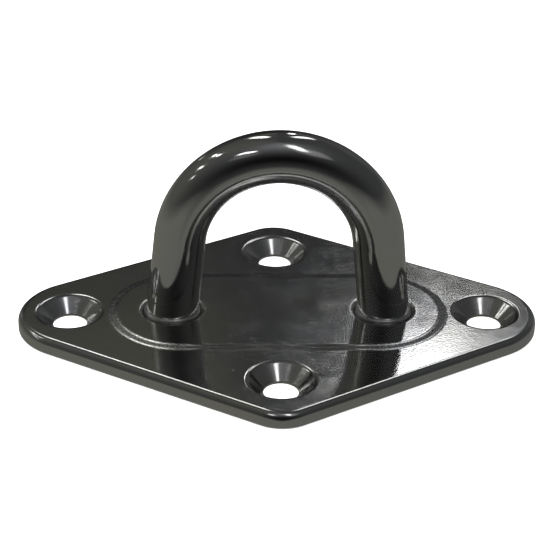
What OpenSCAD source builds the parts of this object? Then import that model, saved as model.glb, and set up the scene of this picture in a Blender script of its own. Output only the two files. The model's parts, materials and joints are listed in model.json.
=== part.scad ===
// Diamond pad eye for a boat deck: a rounded rhombus plate with four countersunk
// screw holes, and a horseshoe bow of round bar welded through it.
//
// Frame: +X along the plate's long diagonal, +Y along its short diagonal, +Z up
// out of the deck. The origin is the centre of the plate's underside, which is
// the face that rests on the deck. Every length is in millimetres.

/* [Base plate] */
// Distance from the centre to the middle of each long-diagonal corner's arc
end_x = 30.2; // [29:0.1:36]
// Radius of the two corners on the long diagonal
end_r = 10.3; // [9.5:0.1:12]
// Distance from the centre to the middle of each short-diagonal corner's arc
side_y = 22.9; // [22:0.1:28]
// Radius of the two corners on the short diagonal
side_r = 6.1; // [5.5:0.1:8]
// Thickness of the plate around its rim
plate_t = 2.5; // [2.2:0.1:4]
// Radius that rounds the plate's upper edge
edge_r = 1.2; // [0.6:0.1:1.5]
// Radius that breaks the plate's lower edge
foot_edge_r = 0.25; // [0.1:0.05:0.4]

/* [Raised seat] */
// Distance from the centre to the middle of each round end of the seat
seat_x = 14.8; // [13:0.1:16]
// Radius of the seat's round ends, and half its width, at its upper face
seat_r = 10.4; // [9.5:0.1:11]
// Height of the seat above the rim's upper face
seat_rise = 0.4; // [0.3:0.1:0.8]
// Horizontal run of the slope around the seat
seat_slope = 1.2; // [0.4:0.1:1.4]
// Depth of the pocket pressed into the underside below the seat
pocket_depth = 0.6; // [0.5:0.1:0.8]
// Radius of the pocket's round ends, and half its width, at its mouth
pocket_r = 8.4; // [8:0.1:9]

/* [Screw holes] */
// Distance from the centre to each screw hole on the long diagonal
screw_x = 32.5; // [32:0.1:36]
// Distance from the centre to each screw hole on the short diagonal
screw_y = 19.6; // [19:0.1:25]
// Diameter of each screw hole
screw_d = 5.3; // [4.3:0.1:5.5]
// Height of the straight wall at the bottom of each screw hole
screw_land = 0.4; // [0.3:0.1:1]
// Angle between the two sides of each countersink
countersink_angle = 98; // [90:1:110]
// Radius that rolls each countersink over into the plate's upper face
countersink_lip = 1.2; // [0.6:0.1:1.2]

/* [Bow] */
// Diameter of the bow's round bar
bar_d = 8; // [7:0.1:8]
// Radius of the bow's arc, measured to the middle of the bar
bow_r = 15.25; // [14:0.05:16]
// Height of the middle of the arc above the deck
bow_h = 14; // [12:0.5:20]
// Angle by which each leg leans out from the vertical towards its foot
bow_splay = 6; // [1:0.5:8]
// Height of the leg ends above the deck
leg_end_z = 0.15; // [0.1:0.05:0.3]

/* [Welds] */
// Clearance between the bar and its hole in the plate, filled by weld metal
root_gap = 0.35; // [0.3:0.05:0.5]
// Radius that rolls each leg hole over into the seat's upper face
leg_hole_lip = 0.8; // [0.4:0.1:1]
// Radius of the small round bead where each leg leaves the seat
bead_r = 0.38; // [0.25:0.01:0.4]
// How far each root weld spreads from the bar in the pocket
root_spread = 1.75; // [1.2:0.05:1.9]

/* [Hidden] */

steel_fn = 64;  // segments round the bar and the holes
hull_fn = 64;  // segments round the plate's corners, the seat and the pocket
past = 1;  // how far a cutter runs beyond the face that it cuts
seam = 0.02;  // how much thicker the legs are than the arc, so that they close over its ends
bead_clear = 0.02;  // gap between each top bead and the wall of its hole

seat_z = plate_t + seat_rise;
bar_r = bar_d / 2;
leg_hole_r = bar_r + root_gap;
left = -1;
right = 1;

// Where the bar's middle line leaves the arc for the straight leg.
arc_end_x = bow_r * cos(bow_splay);
arc_end_z = bow_h + bow_r * sin(bow_splay);

// Distance from the centre to a leg's middle line at height z.
function leg_x(z) = arc_end_x + (arc_end_z - z) * tan(bow_splay);

foot_x = leg_x(seat_z);
root_x = leg_x(pocket_depth);

// ---------------------------------------------------------------- base plate

// Section of the rim from its inner side at X = 0 out to X = reach.
module rim_section(reach) {
    square([reach - edge_r, plate_t]);
    translate([0, foot_edge_r])
        square([reach, plate_t - edge_r - foot_edge_r]);
    translate([reach - edge_r, plate_t - edge_r])
        quarter_disc(edge_r);
    translate([reach - foot_edge_r, foot_edge_r])
        mirror([0, 1])
            quarter_disc(foot_edge_r);
}

module quarter_disc(r) {
    intersection() {
        circle(r = r, $fn = hull_fn);
        square(r);
    }
}

// One rounded corner: a disc with the rim's section.
module corner(x, y, r) {
    translate([x, y, 0])
        rotate_extrude($fn = hull_fn)
            rim_section(r);
}

module plate_blank() {
    hull()
        for (way = [left, right]) {
            corner(way * end_x, 0, end_r);
            corner(0, way * side_y, side_r);
        }
}

// A slab with round ends and sloping sides: low_r wide at its foot, high_r at its top.
module obround(half_length, low_r, high_r, height) {
    hull()
        for (way = [left, right])
            translate([way * half_length, 0, 0])
                cylinder(r1 = low_r, r2 = high_r, h = height, $fn = hull_fn);
}

// Cutter for a hole of radius r whose wall leans out above z = wall_top, at
// half_angle from the hole's axis, and rolls over into a face at height face_z.
module hole_cutter(r, wall_top, half_angle, lip, face_z) {
    roll_low = face_z - lip * (1 - sin(half_angle));
    roll_in = r + (roll_low - wall_top) * tan(half_angle);
    roll_out = roll_in + lip * cos(half_angle);
    rotate_extrude($fn = steel_fn)
        difference() {
            polygon([
                [0, -past],
                [r, -past],
                [r, wall_top],
                [roll_in, roll_low],
                [roll_out, face_z],
                [roll_out, face_z + past],
                [0, face_z + past]
            ]);
            translate([roll_out, face_z - lip])
                circle(r = lip, $fn = steel_fn);
        }
}

module screw_hole() {
    hole_cutter(screw_d / 2, screw_land, countersink_angle / 2, countersink_lip, plate_t);
}

module leg_hole() {
    rotate_extrude($fn = steel_fn)
        difference() {
            polygon([
                [0, -past],
                [leg_hole_r, -past],
                [leg_hole_r, seat_z - leg_hole_lip],
                [leg_hole_r + leg_hole_lip, seat_z],
                [leg_hole_r + leg_hole_lip, seat_z + past],
                [0, seat_z + past]
            ]);
            translate([leg_hole_r + leg_hole_lip, seat_z - leg_hole_lip])
                circle(r = leg_hole_lip, $fn = steel_fn);
        }
}

module base_plate() {
    color("slategray")
        difference() {
            union() {
                plate_blank();
                translate([0, 0, plate_t])
                    obround(seat_x, seat_r + seat_slope, seat_r, seat_rise);
            }
            translate([0, 0, -past])
                obround(seat_x, pocket_r, pocket_r, past + pocket_depth);
            for (way = [left, right]) {
                translate([way * screw_x, 0, 0])
                    screw_hole();
                translate([0, way * screw_y, 0])
                    screw_hole();
                translate([way * foot_x, 0, 0])
                    leg_hole();
            }
        }
}

// ----------------------------------------------------------------------- bow

// The straight leg on one side, from just inside the arc's end to below the deck.
module leg(way) {
    translate([way * arc_end_x, 0, arc_end_z])
        rotate([0, 180 - way * bow_splay, 0])
            translate([0, 0, -seam])
                cylinder(r = bar_r + seam, h = arc_end_z / cos(bow_splay) + past, $fn = steel_fn);
}

module arc() {
    translate([0, 0, bow_h])
        rotate([90, -bow_splay, 0])
            rotate_extrude(angle = 180 - 2 * bow_splay, $fn = 2 * steel_fn)
                translate([bow_r, 0])
                    circle(r = bar_r, $fn = steel_fn);
}

module eye_bow() {
    below = 4 * past;  // deeper than the slanted ends of the legs
    color("slategray")
        difference() {
            union() {
                arc();
                leg(left);
                leg(right);
            }
            translate([-end_x, -bar_d, leg_end_z - below])
                cube([2 * end_x, 2 * bar_d, below]);
        }
}

// --------------------------------------------------------------------- welds

// Weld metal that fills the top of the leg hole, with a small bead round the leg.
module top_weld(way) {
    fill_low = seat_z / 2;
    fill_high = seat_z - 2 / 3 * bead_r;  // leaves a groove round the bead
    color("lightslategray")
        difference() {
            translate([way * foot_x, 0, 0])
                rotate_extrude($fn = steel_fn)
                    union() {
                        translate([bar_r - past, fill_low])
                            square([root_gap + past, fill_high - fill_low]);
                        translate([leg_hole_r - bead_clear - bead_r, seat_z])
                            circle(r = bead_r, $fn = steel_fn);
                    }
            leg(way);
        }
}

// Weld metal that fills the bottom of the leg hole and spreads into the pocket.
module root_weld(way) {
    crown_r = 0.6 * root_spread;  // its crown is a little flatter than a half circle
    crown_x = bar_r + root_spread / 2;
    crown_z = leg_end_z + crown_r;
    color("darkgray")
        difference() {
            union() {
                translate([way * foot_x, 0, pocket_depth])
                    cylinder(r = leg_hole_r, h = seat_z / 2 - pocket_depth, $fn = steel_fn);
                translate([way * root_x, 0, 0])
                    rotate_extrude($fn = steel_fn)
                        intersection() {
                            translate([crown_x, crown_z])
                                circle(r = crown_r, $fn = steel_fn);
                            square([2 * crown_x, pocket_depth]);
                        }
            }
            leg(way);
        }
}

module top_weld_left() {
    top_weld(left);
}

module top_weld_right() {
    top_weld(right);
}

module root_weld_left() {
    root_weld(left);
}

module root_weld_right() {
    root_weld(right);
}

base_plate();
eye_bow();
top_weld_left();
top_weld_right();
root_weld_left();
root_weld_right();
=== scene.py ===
"""Looks of the diamond pad eye: a pressed and polished plate, a bent round bar, and its welds.

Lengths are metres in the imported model's frame. MM turns millimetres into metres.
"""

import json
import math

import bpy
from mathutils import Matrix, Vector, noise
from mathutils.geometry import delaunay_2d_cdt


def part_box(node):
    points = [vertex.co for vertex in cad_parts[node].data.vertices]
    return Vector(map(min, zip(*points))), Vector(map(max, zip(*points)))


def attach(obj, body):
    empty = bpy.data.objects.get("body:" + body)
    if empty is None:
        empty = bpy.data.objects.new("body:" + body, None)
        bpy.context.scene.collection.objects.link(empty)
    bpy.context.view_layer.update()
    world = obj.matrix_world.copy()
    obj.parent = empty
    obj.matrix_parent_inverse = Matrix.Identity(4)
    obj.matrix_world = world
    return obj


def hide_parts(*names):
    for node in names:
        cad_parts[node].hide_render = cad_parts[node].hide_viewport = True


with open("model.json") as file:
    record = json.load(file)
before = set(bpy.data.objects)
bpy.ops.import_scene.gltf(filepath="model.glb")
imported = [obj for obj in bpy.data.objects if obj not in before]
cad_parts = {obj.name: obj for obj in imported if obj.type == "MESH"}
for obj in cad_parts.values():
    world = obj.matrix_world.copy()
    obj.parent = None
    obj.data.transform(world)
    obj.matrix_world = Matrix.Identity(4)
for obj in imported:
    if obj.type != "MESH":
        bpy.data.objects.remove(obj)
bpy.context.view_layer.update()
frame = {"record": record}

MM = 0.001

# ------------------------------------------------------------------ sizes

_, plate_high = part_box("base_plate")
bow_low, bow_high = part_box("eye_bow")
mounts = {m["name"]: m for m in frame["record"]["mounts"]}

END_R = 10.3 * MM
SIDE_R = 6.1 * MM
END_X = plate_high.x - END_R
SIDE_Y = plate_high.y - SIDE_R
PLATE_T = 2.5 * MM
SEAT_Z = plate_high.z
EDGE_R = 1.2 * MM
FOOT_EDGE_R = 0.25 * MM

SEAT_X = 14.8 * MM
SEAT_MID_R = 11.0 * MM  # reach of the middle of the slope round the seat
SEAT_SLOPE_DEG = 26
POCKET_R = 8.4 * MM
POCKET_Z = 0.6 * MM

SCREW_X = mounts["long_diagonal_screws"]["dims"]["spacing_x_mm"] * MM / 2
SCREW_Y = mounts["short_diagonal_screws"]["dims"]["spacing_y_mm"] * MM / 2
SCREW_R = mounts["screw_hole_left"]["dims"]["r_mm"] * MM
SCREW_LAND = mounts["screw_hole_left"]["dims"]["length_mm"] * MM
CONE_DEG = 49  # from the hole's axis
CONE_LIP_R = 1.2 * MM
BREAK_R = 0.1 * MM  # rounds the sharp corners inside the holes

SEAM = 0.02 * MM  # how much thicker the legs are than the arc in the CAD model
BAR_R = bow_high.y - SEAM
BOW_R = 15.25 * MM
BOW_H = bow_high.z - BAR_R - BOW_R
SPLAY = math.radians(6)
LEG_END_Z = bow_low.z
ROOT_GAP = 0.35 * MM
LEG_HOLE_R = BAR_R + ROOT_GAP
LEG_LIP_R = 0.8 * MM

# Where the arc ends on the right and the straight leg begins, as (x, z).
ARC_END = (BOW_R * math.cos(SPLAY), BOW_H + BOW_R * math.sin(SPLAY))


def leg_x(z):
    """Distance from the centre to a leg's middle line at height z."""
    return ARC_END[0] + (ARC_END[1] - z) * math.tan(SPLAY)


FOOT_X = leg_x(SEAT_Z)
ROOT_X = leg_x(POCKET_Z)

# The straight stretches of the plate's outline: the distance between the centres of the two
# corners that one joins, the direction in radians that the back right one faces, its length.
RIM_GAP = math.hypot(END_X, SIDE_Y)
RIM_TURN = math.acos((END_R - SIDE_R) / RIM_GAP)
RIM_FACING = math.atan2(SIDE_Y, -END_X) - RIM_TURN
RIM_STRAIGHT = RIM_GAP * math.sin(RIM_TURN)

SCREW_SPOTS = [(-SCREW_X, 0), (SCREW_X, 0), (0, -SCREW_Y), (0, SCREW_Y)]
LEG_SPOTS = [(-FOOT_X, 0), (FOOT_X, 0)]

# ------------------------------------------------------------------ mesh kit

# How many steps round arcs and along straight stretches are divided into.
HOLE_STEPS = 112
END_STEPS = 44
SIDE_STEPS = 24
RIM_STRAIGHT_STEPS = 40
SEAT_STEPS = 48
SEAT_STRAIGHT_STEPS = 30


class Skin:
    """A mesh made of rings of points, with the true normal kept at each point.

    Each point also holds three values that the materials read: wear, from 0 upwards, groove,
    its distance from the axis of a turned face, and guide, a direction or a place on the bar.
    """

    def __init__(self):
        self.points = []
        self.normals = []
        self.wear = []
        self.groove = []
        self.guide = []
        self.faces = []
        self.finish = []

    def point(self, place, normal, wear=0.0, groove=0.0, guide=(0, 0, 0)):
        self.points.append(place)
        self.normals.append(normal)
        self.wear.append(wear)
        self.groove.append(groove)
        self.guide.append(guide)
        return len(self.points) - 1

    def ring(self, spine, reach, z, out, up, wear=0.0, turned=False):
        """Points at that reach from a spine, a list of (x, y, outward x, outward y)."""
        found = []
        for x, y, nx, ny in spine:
            place = (x + nx * reach, y + ny * reach, z)
            normal = (nx * out, ny * out, up)
            groove = reach if turned else 0.0
            found.append(self.point(place, normal, wear, groove, (nx, ny, 0.0)))
        return found

    def strip(self, low, high, finish):
        """Quads between two closed rings."""
        count = len(low)
        for i in range(count):
            j = (i + 1) % count
            self.faces.append((low[i], low[j], high[j], high[i]))
            self.finish.append(finish)

    def section(self, spine, rows, finish, turned=False):
        """Sweeps rows of (reach, z, out, up, wear) round a spine. Returns the first and last rings."""
        rings = [self.ring(spine, *row, turned=turned) for row in rows]
        for low, high in zip(rings, rings[1:]):
            self.strip(low, high, finish)
        return rings[0], rings[-1]

    def fill(self, loops, keep, z, up, finish, pitch=1.3 * MM, margin=0.45):
        """Triangles over the flat region at height z that the loops bound.

        keep(x, y, gap) says whether a place lies in the region, at least gap from its bounds.
        Inner points are set out in a triangular grid of that pitch.
        """
        index = [i for loop in loops for i in loop]
        spots = [Vector((self.points[i][0] / MM, self.points[i][1] / MM)) for i in index]
        edges = []
        start = 0
        for loop in loops:
            edges += [(start + k, start + (k + 1) % len(loop)) for k in range(len(loop))]
            start += len(loop)
        xs, ys = [p.x for p in spots], [p.y for p in spots]
        step = pitch / MM
        row = 0
        y = min(ys) + step / 2
        while y < max(ys):
            x = min(xs) + step * (0.25 + 0.5 * (row % 2))
            while x < max(xs):
                if keep(x * MM, y * MM, margin * pitch):
                    spots.append(Vector((x, y)))
                    index.append(self.point((x * MM, y * MM, z), (0, 0, up)))
                x += step
            y += step * math.sqrt(0.75)
            row += 1
        found, _, triangles, sources, _, _ = delaunay_2d_cdt(spots, edges, [], 0, 1e-7)
        for triangle in triangles:
            middle = sum((found[i] for i in triangle), Vector((0, 0))) / 3
            if not keep(middle.x * MM, middle.y * MM, 0):
                continue
            corners = [index[sources[i][0]] for i in triangle]
            self.faces.append(tuple(corners if up > 0 else reversed(corners)))
            self.finish.append(finish)

    def make(self, name, materials):
        mesh = bpy.data.meshes.new(name)
        mesh.from_pydata(self.points, [], self.faces)
        for material in materials:
            mesh.materials.append(material)
        mesh.polygons.foreach_set("material_index", self.finish)
        mesh.polygons.foreach_set("use_smooth", [True] * len(self.faces))
        for label, values in (("wear", self.wear), ("groove", self.groove)):
            attribute = mesh.attributes.new(label, "FLOAT", "POINT")
            attribute.data.foreach_set("value", values)
        guide = mesh.attributes.new("guide", "FLOAT_VECTOR", "POINT")
        guide.data.foreach_set("vector", [c for v in self.guide for c in v])
        mesh.update()
        mesh.normals_split_custom_set_from_vertices(self.normals)
        piece = bpy.data.objects.new(name, mesh)
        bpy.context.scene.collection.objects.link(piece)
        return piece


def bend(reach, z, radius, start, end, steps, hollow=False, wear=0.0):
    """Section rows along an arc, from start to end in degrees.

    A row is (reach, z, out, up, wear), where out and up are its normal. The normals of a
    hollow arc point to its middle.
    """
    rows = []
    for i in range(steps + 1):
        a = math.radians(start + (end - start) * i / steps)
        side = -1 if hollow else 1
        place = (reach + radius * math.cos(a), z + radius * math.sin(a))
        rows.append((*place, side * math.cos(a), side * math.sin(a), wear))
    return rows


def circle(x, y, count=HOLE_STEPS):
    """A spine for a round hole."""
    turns = [2 * math.pi * i / count for i in range(count)]
    return [(x, y, math.cos(a), math.sin(a)) for a in turns]


def arc_points(x, y, start, end, steps):
    """Spine points that all lie at one place and face outwards from start to end, in radians."""
    turns = [start + (end - start) * i / steps for i in range(steps + 1)]
    return [(x, y, math.cos(a), math.sin(a)) for a in turns]


def between(first, last, steps):
    """Spine points strictly between two, along a straight stretch."""
    parts = [i / steps for i in range(1, steps)]
    return [
        tuple(a + (b - a) * t for a, b in zip(first[:2], last[:2])) + tuple(first[2:])
        for t in parts
    ]


def closed_spine(arcs, straight_steps):
    """Joins arcs by straight stretches into one closed spine."""
    spine = []
    for i, arc in enumerate(arcs):
        following = arcs[(i + 1) % len(arcs)]
        spine += arc + between(arc[-1], following[0], straight_steps)
    return spine


def rim_spine():
    """The plate's outline, as points on it with their outward directions."""
    side_half = math.pi / 2 - RIM_FACING
    corners = [
        (END_X, 0, END_R, 0, RIM_FACING, END_STEPS),
        (0, SIDE_Y, SIDE_R, math.pi / 2, side_half, SIDE_STEPS),
        (-END_X, 0, END_R, math.pi, RIM_FACING, END_STEPS),
        (0, -SIDE_Y, SIDE_R, 3 * math.pi / 2, side_half, SIDE_STEPS),
    ]
    arcs = []
    for x, y, r, middle, half, steps in corners:
        arc = arc_points(x, y, middle - half, middle + half, steps)
        arcs.append([(px + nx * r, py + ny * r, nx, ny) for px, py, nx, ny in arc])
    return closed_spine(arcs, RIM_STRAIGHT_STEPS)


def obround_spine():
    """The line between the seat's two end centres, walked round with outward directions."""
    right = arc_points(SEAT_X, 0, -math.pi / 2, math.pi / 2, SEAT_STEPS)
    left = arc_points(-SEAT_X, 0, math.pi / 2, 3 * math.pi / 2, SEAT_STEPS)
    return closed_spine([right, left], SEAT_STRAIGHT_STEPS)


def in_circles(x, y, spots, radius):
    return any(math.hypot(x - sx, y - sy) < radius for sx, sy in spots)


def obround_distance(x, y):
    """Distance from the line between the seat's two end centres."""
    return math.hypot(max(abs(x) - SEAT_X, 0), y)


def rim_distance(x, y):
    """How far a point lies inside the plate's outline."""
    x, y = abs(x), abs(y)
    along = -(x - END_X) * math.sin(RIM_FACING) + y * math.cos(RIM_FACING)
    if along < 0:
        return END_R - math.hypot(x - END_X, y)
    if along > RIM_STRAIGHT:
        return SIDE_R - math.hypot(x, y - SIDE_Y)
    return END_R - ((x - END_X) * math.cos(RIM_FACING) + y * math.sin(RIM_FACING))


# ------------------------------------------------------------------ plate

# The plate's three finishes, in the order of its materials.
POLISHED, TURNED, UNDERSIDE = range(3)

# Every swept section ends in a narrow flat band, where a filled flat begins. RIM_FLAT and
# FOOT_FLAT are measured from the plate's outline, and the others from where the section ends.
RIM_FLAT = 1.7 * MM
FOOT_FLAT = 1.2 * MM
SCREW_FLAT = 0.1 * MM
SEAT_FLAT = 0.05 * MM
LEG_FLAT = 0.4 * MM
UNDER_FLAT = 0.4 * MM

# How dull the slope round the seat is, and how much duller at the seat's round ends.
SLOPE_DULL = 1.6
SEAT_END_DULL = 2.6

CONE_STEPS = 16


def screw_rows():
    """Section rows of a screw hole: its rolled rim, its countersink, and its land."""
    half = math.radians(CONE_DEG)
    roll_z = PLATE_T - CONE_LIP_R * (1 - math.sin(half))
    roll_in = SCREW_R + (roll_z - SCREW_LAND) * math.tan(half)
    rim_r = roll_in + CONE_LIP_R * math.cos(half)
    rim = [(rim_r + SCREW_FLAT, PLATE_T, 0, 1, 0.0)]
    roll = (rim_r, PLATE_T - CONE_LIP_R, CONE_LIP_R)
    rim += bend(*roll, 90, 180 - CONE_DEG, steps=14, wear=0.6)
    land_r = SCREW_R + BREAK_R
    land_z = SCREW_LAND - BREAK_R * math.tan(half / 2)
    land = bend(land_r, land_z, BREAK_R, 180 - CONE_DEG, 180, steps=5, wear=1.0)
    land += bend(land_r, BREAK_R, BREAK_R, 180, 270, steps=5, wear=0.5)
    land.append((land_r + UNDER_FLAT, 0, 0, -1, 0.0))
    cone = rim[-1:]
    for i in range(1, CONE_STEPS):
        reach, z = (a + (b - a) * i / CONE_STEPS for a, b in zip(rim[-1][:2], land[0][:2]))
        cone.append((reach, z, -math.cos(half), math.sin(half), 0.0))
    cone.append(land[0])
    return rim, cone, land


def plate_skin():
    """The whole plate as one closed skin: swept rims and holes, with filled flats between."""
    skin = Skin()
    rim = rim_spine()
    seat = obround_spine()

    edge = [(-FOOT_FLAT, 0, 0, -1, 0.0)]
    edge += bend(-FOOT_EDGE_R, FOOT_EDGE_R, FOOT_EDGE_R, -90, 0, steps=6, wear=1.0)
    side = edge[-1:]
    wall = PLATE_T - EDGE_R - FOOT_EDGE_R
    side += [(0, FOOT_EDGE_R + wall * third / 3, 1, 0, 0.0) for third in (1, 2)]
    side += bend(-EDGE_R, PLATE_T - EDGE_R, EDGE_R, 0, 90, steps=20, wear=0.4)
    side.append((-RIM_FLAT, PLATE_T, 0, 1, 0.0))
    foot_loop, _ = skin.section(rim, edge, UNDERSIDE)
    _, top_loop = skin.section(rim, side, POLISHED)

    top_holes, foot_holes = [], []
    screw_rim, screw_cone, screw_land = screw_rows()
    for x, y in SCREW_SPOTS:
        spine = circle(x, y)
        first, _ = skin.section(spine, screw_rim, POLISHED)
        skin.section(spine, screw_cone, TURNED, turned=True)
        _, last = skin.section(spine, screw_land, UNDERSIDE)
        top_holes.append(first)
        foot_holes.append(last)

    slope = math.radians(SEAT_SLOPE_DEG)
    soft_r = (SEAT_Z - PLATE_T) / 2 / (1 - math.cos(slope))
    run = soft_r * math.sin(slope)
    foot_arc = (SEAT_MID_R + run, PLATE_T + soft_r, soft_r)
    crest_arc = (SEAT_MID_R - run, SEAT_Z - soft_r, soft_r)
    slope_rows = bend(*foot_arc, 270, 270 - SEAT_SLOPE_DEG, steps=8, hollow=True)
    slope_rows += bend(*crest_arc, 90 - SEAT_SLOPE_DEG, 90, steps=8)[1:]
    climb = [(SEAT_MID_R + run + SEAT_FLAT, PLATE_T, 0, 1, 0.0)]
    for i, row in enumerate(slope_rows):
        dull = SLOPE_DULL * math.sin(math.pi * i / (len(slope_rows) - 1))
        climb.append(row[:4] + (dull,))
    climb.append((SEAT_MID_R - run - SEAT_FLAT, SEAT_Z, 0, 1, 0.0))
    first_point = len(skin.points)
    seat_foot, seat_top = skin.section(seat, climb, POLISHED)
    for i in range(first_point, len(skin.points)):
        if abs(skin.points[i][0]) > SEAT_X:
            skin.wear[i] *= SEAT_END_DULL

    root_r, mouth_r = 0.3 * MM, 0.2 * MM
    pocket = [(POCKET_R - 3 * root_r, POCKET_Z, 0, -1, 0.0)]
    pocket += bend(POCKET_R - root_r, POCKET_Z - root_r, root_r, 90, 0, steps=6, hollow=True)
    pocket += bend(POCKET_R + mouth_r, mouth_r, mouth_r, 180, 270, steps=5, wear=1.0)
    pocket.append((POCKET_R + 3 * mouth_r, 0, 0, -1, 0.0))
    ceiling_loop, mouth_loop = skin.section(seat, pocket, UNDERSIDE)

    lip_r = LEG_HOLE_R + LEG_LIP_R
    leg_wall = [(lip_r + LEG_FLAT, SEAT_Z, 0, 1, 0.0)]
    leg_wall += bend(lip_r, SEAT_Z - LEG_LIP_R, LEG_LIP_R, 90, 180, steps=12, wear=1.8)
    leg_wall += bend(LEG_HOLE_R + BREAK_R, POCKET_Z + BREAK_R, BREAK_R, 180, 270, steps=4)
    leg_wall.append((LEG_HOLE_R + BREAK_R + LEG_FLAT, POCKET_Z, 0, -1, 0.0))
    leg_tops, leg_feet = [], []
    for x, y in LEG_SPOTS:
        first, last = skin.section(circle(x, y), leg_wall, POLISHED)
        leg_tops.append(first)
        leg_feet.append(last)

    def on_rim_face(x, y, gap):
        return (
            rim_distance(x, y) > RIM_FLAT + gap
            and obround_distance(x, y) > climb[0][0] + gap
            and not in_circles(x, y, SCREW_SPOTS, screw_rim[0][0] + gap)
        )

    def on_seat(x, y, gap):
        return (
            obround_distance(x, y) < climb[-1][0] - gap
            and not in_circles(x, y, LEG_SPOTS, leg_wall[0][0] + gap)
        )

    def on_underside(x, y, gap):
        return (
            rim_distance(x, y) > FOOT_FLAT + gap
            and obround_distance(x, y) > pocket[-1][0] + gap
            and not in_circles(x, y, SCREW_SPOTS, screw_land[-1][0] + gap)
        )

    def on_ceiling(x, y, gap):
        return (
            obround_distance(x, y) < pocket[0][0] - gap
            and not in_circles(x, y, LEG_SPOTS, leg_wall[-1][0] + gap)
        )

    skin.fill([top_loop, seat_foot] + top_holes, on_rim_face, PLATE_T, 1, POLISHED)
    skin.fill([seat_top] + leg_tops, on_seat, SEAT_Z, 1, POLISHED)
    skin.fill([foot_loop, mouth_loop] + foot_holes, on_underside, 0, -1, UNDERSIDE)
    skin.fill([ceiling_loop] + leg_feet, on_ceiling, POCKET_Z, -1, UNDERSIDE)
    return skin


# ------------------------------------------------------------------ bow

BAR_STEPS = 128
ARC_STEPS = 170
LEG_STEPS = 30
CUT_STEPS = 5
CUT_ROUND = 0.25 * MM
CUT_SHARES = (0.8, 0.55, 0.3, 0.1)  # rings on a cut face, as shares of the bar's radius
GUIDE_UNIT = 10 * MM  # the run along the bar that guide counts as 1


def bow_path():
    """Middle line of the bar's arc from left to right, as (x, z, outward x, outward z)."""
    rows = []
    for i in range(ARC_STEPS + 1):
        a = math.pi - SPLAY - (math.pi - 2 * SPLAY) * i / ARC_STEPS
        rows.append((BOW_R * math.cos(a), BOW_H + BOW_R * math.sin(a), math.cos(a), math.sin(a)))
    return rows


def bow_skin():
    """The bar as rings from its left cut end to its right. Guide is (share of a turn, run, 0)."""
    skin = Skin()
    turns = [2 * math.pi * i / BAR_STEPS for i in range(BAR_STEPS)]

    def around(place, out, radius, run):
        """One ring of the bar round a point of its middle line."""
        ring = []
        for a in turns:
            normal = (out[0] * math.cos(a), math.sin(a), out[1] * math.cos(a))
            spot = tuple(c + radius * n for c, n in zip(place, normal))
            along = (a / (2 * math.pi), run / GUIDE_UNIT, 0)
            ring.append(skin.point(spot, normal, 0.0, 0.0, along))
        return ring

    def foot(way, radius, lift, normal_down):
        """One level ring of a leg, lift above its cut end."""
        out = (way * math.cos(SPLAY), math.sin(SPLAY))
        level = math.sqrt(1 - normal_down**2)
        ring = []
        for a in turns:
            side = (out[0] * math.cos(a), math.sin(a), out[1] * math.cos(a))
            x0 = way * ARC_END[0] + radius * side[0]
            z0 = ARC_END[1] + radius * side[2]
            drop = (z0 - LEG_END_Z - lift) / math.cos(SPLAY)
            spot = (x0 + way * drop * math.sin(SPLAY), radius * side[1], LEG_END_Z + lift)
            normal = tuple(c * level for c in side[:2]) + (side[2] * level - normal_down,)
            ring.append(skin.point(spot, normal, 0.0, 0.0, (a / (2 * math.pi), 0, 0)))
        return ring

    def leg(way):
        """Rings of a straight leg from the arc's end down, then of its rounded and cut end."""
        rings = []
        out = (way * math.cos(SPLAY), math.sin(SPLAY))
        length = (ARC_END[1] - LEG_END_Z) / math.cos(SPLAY) - 2.2 * CUT_ROUND
        lowest = LEG_END_Z + 2 * CUT_ROUND + BAR_R * math.sin(SPLAY)
        for i in range(1, LEG_STEPS):
            run = length * i / LEG_STEPS
            x, z = ARC_END[0] + run * math.sin(SPLAY), ARC_END[1] - run * math.cos(SPLAY)
            if z < lowest:
                break
            rings.append(around((way * x, 0, z), out, BAR_R, way * (BOW_R * math.pi / 2 + run)))
        for i in range(CUT_STEPS + 1):
            a = math.radians(90 * i / CUT_STEPS)
            radius = BAR_R - CUT_ROUND * (1 - math.cos(a))
            rings.append(foot(way, radius, CUT_ROUND * (1 - math.sin(a)), math.sin(a)))
        for share in CUT_SHARES:
            rings.append(foot(way, BAR_R * share, 0, 1))
        return rings

    arc = []
    for x, z, nx, nz in bow_path():
        run = BOW_R * math.atan2(x, z - BOW_H)
        arc.append(around((x, 0, z), (nx, nz), BAR_R, run))
    left = list(reversed(leg(-1)))
    right = leg(1)
    rings = left + arc + right
    for low, high in zip(rings, rings[1:]):
        skin.strip(high, low, 0)
    skin.faces.append(tuple(rings[0]))
    skin.faces.append(tuple(reversed(rings[-1])))
    skin.finish += [0, 0]
    return skin


# ------------------------------------------------------------------ welds

# Top beads: the bead's section and how it is set in its hole.
BEAD_R = 0.38 * MM
BEAD_CLEAR = 0.02 * MM
BEAD_REACH = LEG_HOLE_R - BEAD_CLEAR - BEAD_R
BEAD_STEPS = 240
BEAD_SECTION_STEPS = 14
BEAD_FROM_DEG, BEAD_TO_DEG = -38, 205
BEAD_DEPTH = 1.0 * MM
BEAD_INTO_BAR = 0.35 * MM
BEAD_WANDER = 0.03 * MM

# Root welds: the crown's section, and the pools that a welder lays side by side.
ROOT_SPREAD = 1.75 * MM
ROOT_CROWN_R = 0.6 * ROOT_SPREAD
ROOT_STEPS = 480
ROOT_SECTION_STEPS = 22
ROOT_POOLS = 26
ROOT_BURIED = 0.5 * MM


def closed_rings(skin, rings):
    """Joins rings, and the last one to the first, into a closed tube."""
    for low, high in zip(rings, rings[1:] + rings[:1]):
        skin.strip(low, high, 0)
    return skin


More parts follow.
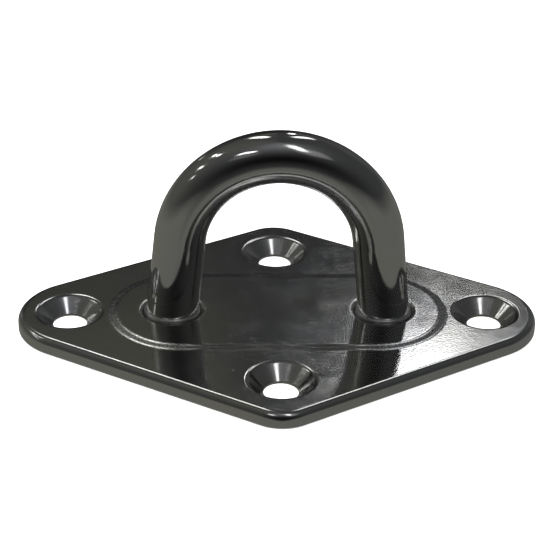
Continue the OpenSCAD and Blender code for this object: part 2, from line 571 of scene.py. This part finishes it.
def top_bead(way, seed):
    """The small polished bead round a leg, and the weld metal below it in the hole."""
    skin = Skin()
    spine = circle(way * FOOT_X, 0, BEAD_STEPS)
    fill_z = SEAT_Z - BEAD_R * 2 / 3
    base_z = SEAT_Z - BEAD_DEPTH
    rows = [(BAR_R - BEAD_INTO_BAR, base_z), (LEG_HOLE_R, base_z), (LEG_HOLE_R, fill_z)]
    for i in range(BEAD_SECTION_STEPS + 1):
        a = math.radians(BEAD_FROM_DEG + (BEAD_TO_DEG - BEAD_FROM_DEG) * i / BEAD_SECTION_STEPS)
        rows.append((BEAD_REACH + BEAD_R * math.cos(a), SEAT_Z + BEAD_R * math.sin(a)))
    rings = []
    for reach, z in rows:
        ring = []
        for x, y, nx, ny in spine:
            drift = noise.noise(Vector((3 * nx + seed, 3 * ny, z / MM))) * BEAD_WANDER
            if z <= fill_z:
                drift = 0
            r = reach + drift
            ring.append(skin.point((x + nx * r, y + ny * r, z + drift / 2), (0, 0, 1)))
        rings.append(ring)
    return closed_rings(skin, rings)


def root_bead(way, seed):
    """The rippled weld round a leg in the pocket, laid as a row of overlapping pools."""
    skin = Skin()
    spine = circle(way * ROOT_X, 0, ROOT_STEPS)
    crown_reach, crown_z = BAR_R + ROOT_SPREAD / 2, LEG_END_Z + ROOT_CROWN_R
    reach_half = math.sqrt(ROOT_CROWN_R**2 - (crown_z - POCKET_Z) ** 2)
    first_turn = math.atan2(POCKET_Z - crown_z, reach_half)
    rings = []
    for i in range(ROOT_SECTION_STEPS + 1):
        share = i / ROOT_SECTION_STEPS
        a = first_turn + (-math.pi - 2 * first_turn) * i / ROOT_SECTION_STEPS
        fade = math.sin(math.pi * share)  # nothing at the toes, all at the crown
        chevron = 0.9 * (2 * share - 1) ** 2
        ring = []
        for x, y, nx, ny in spine:
            phase = (math.atan2(ny, nx) * ROOT_POOLS / (2 * math.pi) + chevron) % 1.0
            pool = (1 - abs(2 * phase - 1) ** 1.6) * fade
            wander = noise.noise(Vector((2 * nx + seed, 2 * ny, share)))
            radius = ROOT_CROWN_R - (0.10 * (1 - pool) - 0.05 * wander) * MM * fade
            reach = crown_reach + radius * math.cos(a) + 0.06 * MM * wander
            z = crown_z + radius * math.sin(a)
            ring.append(skin.point((x + nx * reach, y + ny * reach, z), (0, 0, -1)))
        rings.append(ring)
    for side in (-1, 1):
        buried = skin.ring(spine, crown_reach + side * reach_half, POCKET_Z + ROOT_BURIED, 0, 1)
        rings.append(buried)
    return closed_rings(skin, rings)


# ------------------------------------------------------------------ materials


class Nodes:
    """A small helper that adds shader nodes and joins them."""

    def __init__(self, name):
        self.material = bpy.data.materials.new(name)
        self.material.use_nodes = True
        self.tree = self.material.node_tree
        self.shader = self.tree.nodes["Principled BSDF"]
        self.where = self.add("ShaderNodeTexCoord").outputs["Object"]

    def add(self, kind, **settings):
        node = self.tree.nodes.new(kind)
        for key, value in settings.items():
            setattr(node, key, value)
        return node

    def join(self, output, socket):
        self.tree.links.new(output, socket)

    def noise(self, size, detail=3, where=None, stretch=(1, 1, 1)):
        """Noise whose grains are about that size in metres, stretched along the axes."""
        mapping = self.add("ShaderNodeMapping")
        mapping.inputs["Scale"].default_value = [1 / (size * s) for s in stretch]
        self.join(where or self.where, mapping.inputs["Vector"])
        texture = self.add("ShaderNodeTexNoise")
        texture.inputs["Scale"].default_value = 1
        texture.inputs["Detail"].default_value = detail
        self.join(mapping.outputs["Vector"], texture.inputs["Vector"])
        return texture.outputs["Fac"]

    def ramp(self, value, low, high, start=0.0, end=1.0):
        """Maps value from low..high to start..end."""
        node = self.add("ShaderNodeMapRange")
        limits = {"From Min": low, "From Max": high, "To Min": start, "To Max": end}
        for key, number in limits.items():
            node.inputs[key].default_value = number
        self.join(value, node.inputs["Value"])
        return node.outputs["Result"]

    def math(self, operation, first, second=0):
        node = self.add("ShaderNodeMath", operation=operation)
        for socket, value in zip(node.inputs, (first, second)):
            if isinstance(value, (int, float)):
                socket.default_value = value
            else:
                self.join(value, socket)
        return node.outputs["Value"]

    def mix(self, share, first, second):
        """Mixes two colours by a share that varies over the surface."""
        node = self.add("ShaderNodeMix", data_type="RGBA")
        self.join(share, node.inputs["Factor"])
        for key, colour in (("A", first), ("B", second)):
            socket = next(s for s in node.inputs if s.name == key and s.type == "RGBA")
            if isinstance(colour, tuple):
                socket.default_value = (*colour, 1)
            else:
                self.join(colour, socket)
        return next(s for s in node.outputs if s.type == "RGBA")

    def attribute(self, name, output="Fac"):
        """What a mesh's points hold under that name."""
        return self.add("ShaderNodeAttribute", attribute_name=name).outputs[output]

    def bump(self, height, depth, before=None):
        """A bump of that depth in metres, on top of the one before."""
        node = self.add("ShaderNodeBump")
        node.inputs["Strength"].default_value = 1
        node.inputs["Distance"].default_value = depth
        self.join(height, node.inputs["Height"])
        if before is not None:
            self.join(before, node.inputs["Normal"])
        return node.outputs["Normal"]


# Reflection colours of the steel, seen straight on.
STEEL = (0.56, 0.56, 0.55)
STEEL_WARM = (0.55, 0.55, 0.51)
STEEL_COOL = (0.53, 0.54, 0.56)


def metal(name):
    """A metallic material with nothing else set."""
    nodes = Nodes(name)
    nodes.shader.inputs["Metallic"].default_value = 1.0
    return nodes


def tinted(nodes, light=STEEL, size=14 * MM):
    """Steel whose colour drifts between a warm and a cool tone over the surface."""
    drift = nodes.ramp(nodes.noise(size, 2), 0.35, 0.65)
    tone = nodes.mix(drift, STEEL_WARM, STEEL_COOL)
    patches = nodes.ramp(nodes.noise(2.5 * MM, 4), 0.3, 0.7)
    return nodes.mix(patches, tone, light)


def polished_plate():
    """Mirror polish with orange peel, polishing grain, hairline scratches and worn edges."""
    nodes = metal("plate_polished")
    nodes.join(tinted(nodes), nodes.shader.inputs["Base Color"])
    grain = nodes.noise(0.30 * MM, 2)
    peel = nodes.noise(1.5 * MM, 2)
    sweep = nodes.noise(9 * MM, 1)
    hair = nodes.noise(0.05 * MM, 2, stretch=(60, 1, 1))
    cross = nodes.noise(0.06 * MM, 2, stretch=(1, 45, 1))
    marks = nodes.math("MAXIMUM", nodes.ramp(hair, 0.66, 0.74), nodes.ramp(cross, 0.70, 0.76))
    smear = nodes.ramp(nodes.noise(4 * MM, 3), 0.35, 0.75, 0.085, 0.14)
    worn = nodes.math("MULTIPLY", nodes.attribute("wear"), nodes.ramp(grain, 0.3, 0.8, 0.02, 0.10))
    rough = nodes.math("ADD", smear, worn)
    rough = nodes.math("ADD", rough, nodes.math("MULTIPLY", marks, 0.10))
    nodes.join(rough, nodes.shader.inputs["Roughness"])
    normal = nodes.bump(sweep, 0.017 * MM)
    normal = nodes.bump(peel, 0.0030 * MM, normal)
    normal = nodes.bump(grain, 0.0058 * MM, normal)
    normal = nodes.bump(marks, 0.0008 * MM, normal)
    nodes.join(normal, nodes.shader.inputs["Normal"])
    return nodes.material


def turned_cone():
    """Countersink turned in a lathe: fine rings that draw highlights out into streaks."""
    nodes = metal("plate_turned")
    nodes.join(tinted(nodes, (0.60, 0.60, 0.59)), nodes.shader.inputs["Base Color"])
    reach = nodes.add("ShaderNodeCombineXYZ")
    nodes.join(nodes.attribute("groove"), reach.inputs["X"])
    rings = nodes.noise(0.09 * MM, 2, where=reach.outputs["Vector"])
    broad = nodes.noise(0.5 * MM, 1, where=reach.outputs["Vector"])
    chatter = nodes.noise(0.5 * MM, 2)
    flaws = nodes.ramp(chatter, 0.3, 0.8, 0.0, 0.06)
    rough = nodes.math("ADD", nodes.ramp(broad, 0.3, 0.7, 0.10, 0.16), flaws)
    nodes.join(rough, nodes.shader.inputs["Roughness"])
    nodes.shader.inputs["Anisotropic"].default_value = 0.6
    nodes.join(nodes.attribute("guide", "Vector"), nodes.shader.inputs["Tangent"])
    normal = nodes.bump(rings, 0.0005 * MM)
    normal = nodes.bump(broad, 0.0015 * MM, normal)
    normal = nodes.bump(chatter, 0.0012 * MM, normal)
    nodes.join(normal, nodes.shader.inputs["Normal"])
    return nodes.material


def satin_underside():
    """The face that meets the deck: linished one way, duller, with stains in the pocket."""
    nodes = metal("plate_underside")
    stain = nodes.ramp(nodes.noise(6 * MM, 5), 0.45, 0.7)
    base = nodes.mix(stain, (0.40, 0.40, 0.39), (0.30, 0.28, 0.25))
    nodes.join(base, nodes.shader.inputs["Base Color"])
    brush = nodes.noise(0.06 * MM, 3, stretch=(80, 1, 1))
    deep = nodes.noise(0.14 * MM, 2, stretch=(50, 1, 1))
    brushed = nodes.ramp(brush, 0.3, 0.7, 0.26, 0.40)
    rough = nodes.math("ADD", brushed, nodes.ramp(stain, 0, 1, 0, 0.10))
    nodes.join(rough, nodes.shader.inputs["Roughness"])
    normal = nodes.bump(brush, 0.003 * MM)
    nodes.join(nodes.bump(deep, 0.006 * MM, normal), nodes.shader.inputs["Normal"])
    return nodes.material


LINES_ROUND = 220  # drawing lines round the bar


def polished_bar():
    """The bow: mirror polish over faint drawing lines that run along the bar."""
    nodes = metal("bow_polished")
    nodes.join(tinted(nodes, size=10 * MM), nodes.shader.inputs["Base Color"])
    along = nodes.attribute("guide", "Vector")
    drawn = nodes.noise(1 / LINES_ROUND, 2, where=along, stretch=(1, 60, 1))
    peel = nodes.noise(1.8 * MM, 2)
    sweep = nodes.noise(7 * MM, 1)
    grain = nodes.noise(0.34 * MM, 2)
    smear = nodes.ramp(nodes.noise(3 * MM, 3), 0.4, 0.75, 0.06, 0.12)
    rough = nodes.math("ADD", smear, nodes.ramp(drawn, 0.55, 0.8, 0, 0.06))
    nodes.join(rough, nodes.shader.inputs["Roughness"])
    normal = nodes.bump(sweep, 0.018 * MM)
    normal = nodes.bump(peel, 0.004 * MM, normal)
    normal = nodes.bump(drawn, 0.0030 * MM, normal)
    normal = nodes.bump(grain, 0.0026 * MM, normal)
    nodes.join(normal, nodes.shader.inputs["Normal"])
    return nodes.material


def polished_bead():
    """The top bead: buffed with the rest, so slightly duller in its crease."""
    nodes = metal("bead_polished")
    nodes.join(tinted(nodes, (0.58, 0.58, 0.57), 4 * MM), nodes.shader.inputs["Base Color"])
    buff = nodes.noise(0.3 * MM, 3)
    nodes.join(nodes.ramp(buff, 0.3, 0.8, 0.26, 0.42), nodes.shader.inputs["Roughness"])
    nodes.join(nodes.bump(buff, 0.006 * MM), nodes.shader.inputs["Normal"])
    return nodes.material


def raw_bead():
    """The root weld: grey ripples with straw and blue heat tint and a little oxide."""
    nodes = metal("bead_raw")
    heat = nodes.ramp(nodes.noise(2.2 * MM, 3), 0.35, 0.65)
    tint = nodes.mix(heat, (0.46, 0.37, 0.24), (0.30, 0.31, 0.40))
    oxide = nodes.ramp(nodes.noise(0.5 * MM, 4), 0.5, 0.75)
    nodes.join(nodes.mix(oxide, tint, (0.36, 0.35, 0.34)), nodes.shader.inputs["Base Color"])
    nodes.join(nodes.ramp(oxide, 0, 1, 0.28, 0.5), nodes.shader.inputs["Roughness"])
    nodes.join(nodes.bump(nodes.noise(0.12 * MM, 3), 0.008 * MM), nodes.shader.inputs["Normal"])
    return nodes.material


# ------------------------------------------------------------------ the object


def dress(piece, node):
    """Lets a piece stand for a CAD node: hangs it on the root body and hides the node."""
    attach(piece, "root")
    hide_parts(node)


def face_normals(piece, crease_deg):
    """Takes normals from the faces instead, for a piece whose surface is irregular."""
    mesh = piece.data
    if "custom_normal" in mesh.attributes:
        mesh.attributes.remove(mesh.attributes["custom_normal"])
    mesh.set_sharp_from_angle(angle=math.radians(crease_deg))


plate = plate_skin().make("plate_pressed", [polished_plate(), turned_cone(), satin_underside()])
dress(plate, "base_plate")

bow = bow_skin().make("bow_bent_bar", [polished_bar()])
dress(bow, "eye_bow")

bead_finish, root_finish = polished_bead(), raw_bead()
for side, way, seed in (("left", -1, 3.1), ("right", 1, 8.7)):
    bead = top_bead(way, seed).make("top_bead_" + side, [bead_finish])
    face_normals(bead, 50)
    dress(bead, "top_weld_" + side)
    root = root_bead(way, seed).make("root_bead_" + side, [root_finish])
    face_normals(root, 60)
    dress(root, "root_weld_" + side)

# ------------------------------------------------------------------ studio


FLOOR_SIZE = 6.0
FLOOR_DROP = 0.02 * MM  # keeps the floor from lying in the plate's own underside
FLOOR_GLOW = 0.55


def floor_finish():
    """Pale paper with a faint tooth, clear from below so that the underside can be seen."""
    nodes = Nodes("floor_paper")
    paper = nodes.mix(nodes.noise(1.2 * MM), (0.85, 0.85, 0.85), (0.87, 0.87, 0.87))
    nodes.join(paper, nodes.shader.inputs["Base Color"])
    nodes.shader.inputs["Roughness"].default_value = 0.9
    nodes.shader.inputs["Emission Color"].default_value = (1, 1, 1, 1)
    nodes.shader.inputs["Emission Strength"].default_value = FLOOR_GLOW
    clear = nodes.add("ShaderNodeBsdfTransparent")
    choice = nodes.add("ShaderNodeMixShader")
    below = nodes.add("ShaderNodeNewGeometry").outputs["Backfacing"]
    nodes.join(below, choice.inputs["Fac"])
    nodes.join(nodes.shader.outputs["BSDF"], choice.inputs[1])
    nodes.join(clear.outputs["BSDF"], choice.inputs[2])
    nodes.join(choice.outputs["Shader"], nodes.tree.nodes["Material Output"].inputs["Surface"])
    return nodes.material


def floor():
    """A plain floor that lights the fitting but doesn't show in its polish."""
    half = FLOOR_SIZE / 2
    mesh = bpy.data.meshes.new("floor")
    corners = [(-half, -half, 0), (half, -half, 0), (half, half, 0), (-half, half, 0)]
    mesh.from_pydata(corners, [], [(0, 1, 2, 3)])
    mesh.materials.append(floor_finish())
    card = bpy.data.objects.new("floor", mesh)
    card.location = (0, 0, -FLOOR_DROP)
    card.visible_glossy = False
    bpy.context.scene.collection.objects.link(card)


def overhead_lamp():
    """A large soft lamp for the floor, which doesn't show in the polish either."""
    place, target = Vector((0, 0.1, 1.2)), Vector((0, 0, 0.01))
    light = bpy.data.lights.new("overhead", "AREA")
    light.size = 1.6
    light.energy = 40
    holder = bpy.data.objects.new("overhead", light)
    holder.location = place
    holder.rotation_euler = (target - place).to_track_quat("-Z", "Y").to_euler()
    holder.visible_glossy = False
    bpy.context.scene.collection.objects.link(holder)


AZIMUTH, ELEVATION, ROLL = (math.radians(a) for a in (-2.058, 29.596, 1.168))
DISTANCE = 0.272178
AIM = Vector((0, 0, 8 * MM))
LENS, SENSOR = 112.89, 36.0  # millimetres, as Blender takes them
SHIFT_X, SHIFT_Y = 0.0027, 0.0012


def camera():
    """Looks at the fitting from in front and above, as the photograph does."""
    back = Vector((
        math.sin(AZIMUTH) * math.cos(ELEVATION),
        -math.cos(AZIMUTH) * math.cos(ELEVATION),
        math.sin(ELEVATION),
    ))
    right = (-back).cross(Vector((0, 0, 1))).normalized()
    up = right.cross(-back)
    turned_right = math.cos(ROLL) * right + math.sin(ROLL) * up
    turned_up = -math.sin(ROLL) * right + math.cos(ROLL) * up
    data = bpy.data.cameras.new("camera")
    data.lens, data.sensor_width = LENS, SENSOR
    data.shift_x, data.shift_y = SHIFT_X, SHIFT_Y
    data.clip_start = 0.01
    holder = bpy.data.objects.new("camera", data)
    axes = Matrix((turned_right, turned_up, back)).transposed().to_4x4()
    holder.matrix_world = Matrix.Translation(AIM + back * DISTANCE) @ axes
    bpy.context.scene.collection.objects.link(holder)
    bpy.context.scene.camera = holder


SOFTBOX_POWER = 2.6  # 2 would make soft boxes elliptic, and more makes them squarer

# Azimuth, elevation, width, height and tilt in degrees, softness of the rim, strength.
SOFTBOXES = [
    # High in front, on the left and on the right, each over a wider and fainter glow.
    (-37, 53.5, 12, 4, 12, 0.6, 3.5),
    (-30, 44, 16, 10, 0, 1.0, 0.12),
    (28, 64, 7, 19, 0, 0.9, 2.2),
    (36, 50, 18, 16, 0, 1.0, 0.22),
    # A row of thin lamps on the left, and one low behind them.
    (-118, 41, 8, 3, 32, 0.5, 4.5),
    (-106, 47, 5, 3, 32, 0.5, 4.0),
    (-99, 33, 9, 2.6, 24, 0.5, 3.0),
    (-87, 25, 7, 2.4, 20, 0.5, 1.6),
    (-146, 14, 8, 2.5, 40, 0.6, 0.6),
    # Two tall lamps high behind.
    (-163, 51, 5, 15, 12, 0.7, 4.5),
    (158, 50, 6, 15, -18, 0.7, 3.0),
    # The small lamp behind that the plate's right half mirrors, and two faint glows round it.
    (172, 34.8, 3.2, 5.0, 0, 0.4, 6.5),
    (168, 31, 10, 5, 0, 1.0, 0.08),
    (150, 20, 34, 26, 0, 1.0, 0.04),
]


class Sky(Nodes):
    """World nodes that paint soft glows and shades by direction, in degrees.

    Azimuth 0 looks towards -Y and 90 towards +X. Elevation 90 looks up.
    """

    def __init__(self, name):
        world = bpy.data.worlds.new(name)
        world.use_nodes = True
        bpy.context.scene.world = world
        self.tree = world.node_tree
        self.background = self.tree.nodes["Background"]
        self.where = self.add("ShaderNodeTexCoord").outputs["Generated"]
        parts = self.add("ShaderNodeSeparateXYZ")
        self.join(self.where, parts.inputs["Vector"])
        front = self.math("MULTIPLY", parts.outputs["Y"], -1.0)
        turn = self.math("ARCTAN2", parts.outputs["X"], front)
        self.azimuth = self.math("MULTIPLY", turn, 180 / math.pi)
        rise = self.math("ARCSINE", parts.outputs["Z"])
        self.elevation = self.math("MULTIPLY", rise, 180 / math.pi)

    def hump(self, value, middle, width):
        """A bell curve of the value about the middle."""
        offset = self.math("DIVIDE", self.math("SUBTRACT", value, middle), width)
        square = self.math("MULTIPLY", offset, offset)
        return self.math("EXPONENT", self.math("MULTIPLY", square, -0.5))

    def glow(self, azimuth, across, elevation, up):
        """A soft round share about a direction, that many degrees across and up."""
        sideways = self.hump(self.azimuth, azimuth, across)
        return self.math("MULTIPLY", sideways, self.hump(self.elevation, elevation, up))

    def along(self, direction):
        """How far the direction looked in reaches along that one, from -1 to 1."""
        node = self.add("ShaderNodeVectorMath", operation="DOT_PRODUCT")
        self.join(self.where, node.inputs[0])
        node.inputs[1].default_value = direction
        return node.outputs["Value"]

    def softbox(self, azimuth, elevation, width, height, tilt, soft):
        """A rounded patch that many degrees wide and high, with a soft rim."""
        a, e, t = math.radians(azimuth), math.radians(elevation), math.radians(tilt)
        middle = Vector((math.sin(a) * math.cos(e), -math.cos(a) * math.cos(e), math.sin(e)))
        side = Vector((math.cos(a), math.sin(a), 0))
        rise = middle.cross(side)
        if rise.z < 0:
            rise = -rise
        wide = math.cos(t) * side + math.sin(t) * rise
        tall = -math.sin(t) * side + math.cos(t) * rise
        shares = []
        for direction, size in ((wide, width), (tall, height)):
            reach = self.math("DIVIDE", self.along(direction), math.sin(math.radians(size / 2)))
            shares.append(self.math("POWER", self.math("ABSOLUTE", reach), SOFTBOX_POWER))
        spread = self.math("ADD", *shares)
        patch = self.ramp(spread, 1 - soft, 1 + 2 * soft, 1, 0)
        return self.math("MULTIPLY", patch, self.ramp(self.along(middle), 0.0, 0.1))


def surroundings():
    """A dim room over a grey bench, with the viewer's shade in front and a few soft lamps."""
    sky = Sky("studio")
    azimuth, elevation = sky.azimuth, sky.elevation

    # The bench ends in a soft line near the horizon, lower in front and higher on the right.
    # It is palest straight below, where it shows the underside.
    dip = sky.math("MULTIPLY", sky.hump(azimuth, -1, 15), -20.0)
    rise = sky.math("MULTIPLY", sky.hump(azimuth, 100, 28), 8.0)
    line = sky.math("ADD", sky.math("ADD", dip, rise), -3.0)
    above = sky.ramp(sky.math("SUBTRACT", elevation, line), -7, 6)
    bench = sky.mix(sky.hump(azimuth, -100, 45), (0.175, 0.177, 0.163), (0.195, 0.195, 0.168))
    bench = sky.mix(sky.ramp(elevation, -40, -62), bench, (0.60, 0.60, 0.59))

    # The room is paler on the left, darker low behind but for one pale patch, darkest where
    # the viewer stands in front, and palest overhead.
    room = sky.mix(sky.hump(azimuth, -110, 36), (0.062, 0.063, 0.064), (0.110, 0.111, 0.099))
    behind = sky.ramp(sky.math("ABSOLUTE", azimuth), 140, 168)
    low_back = sky.math("MULTIPLY", behind, sky.ramp(elevation, 36, 25))
    room = sky.mix(low_back, room, (0.024, 0.025, 0.026))
    room = sky.mix(sky.glow(-175, 5, 37, 4), room, (0.13, 0.134, 0.100))
    room = sky.mix(sky.glow(2, 36, 15, 20), room, (0.006, 0.006, 0.006))
    room = sky.mix(sky.glow(5, 45, 74, 15), room, (0.22, 0.22, 0.23))

    total = None
    for *shape, strength in SOFTBOXES:
        light = sky.math("MULTIPLY", sky.softbox(*shape), strength)
        total = light if total is None else sky.math("ADD", total, light)
    lit = sky.add("ShaderNodeMix", data_type="RGBA", blend_type="ADD")
    lit.inputs["Factor"].default_value = 1
    first, second = [s for s in lit.inputs if s.type == "RGBA"]
    sky.join(sky.mix(above, bench, room), first)
    sky.join(total, second)
    result = next(s for s in lit.outputs if s.type == "RGBA")
    seen = sky.add("ShaderNodeLightPath").outputs["Is Camera Ray"]
    sky.join(sky.mix(seen, result, (1, 1, 1)), sky.background.inputs["Color"])


camera()
surroundings()
floor()
overhead_lamp()
bpy.context.scene.view_settings.view_transform = "Standard"
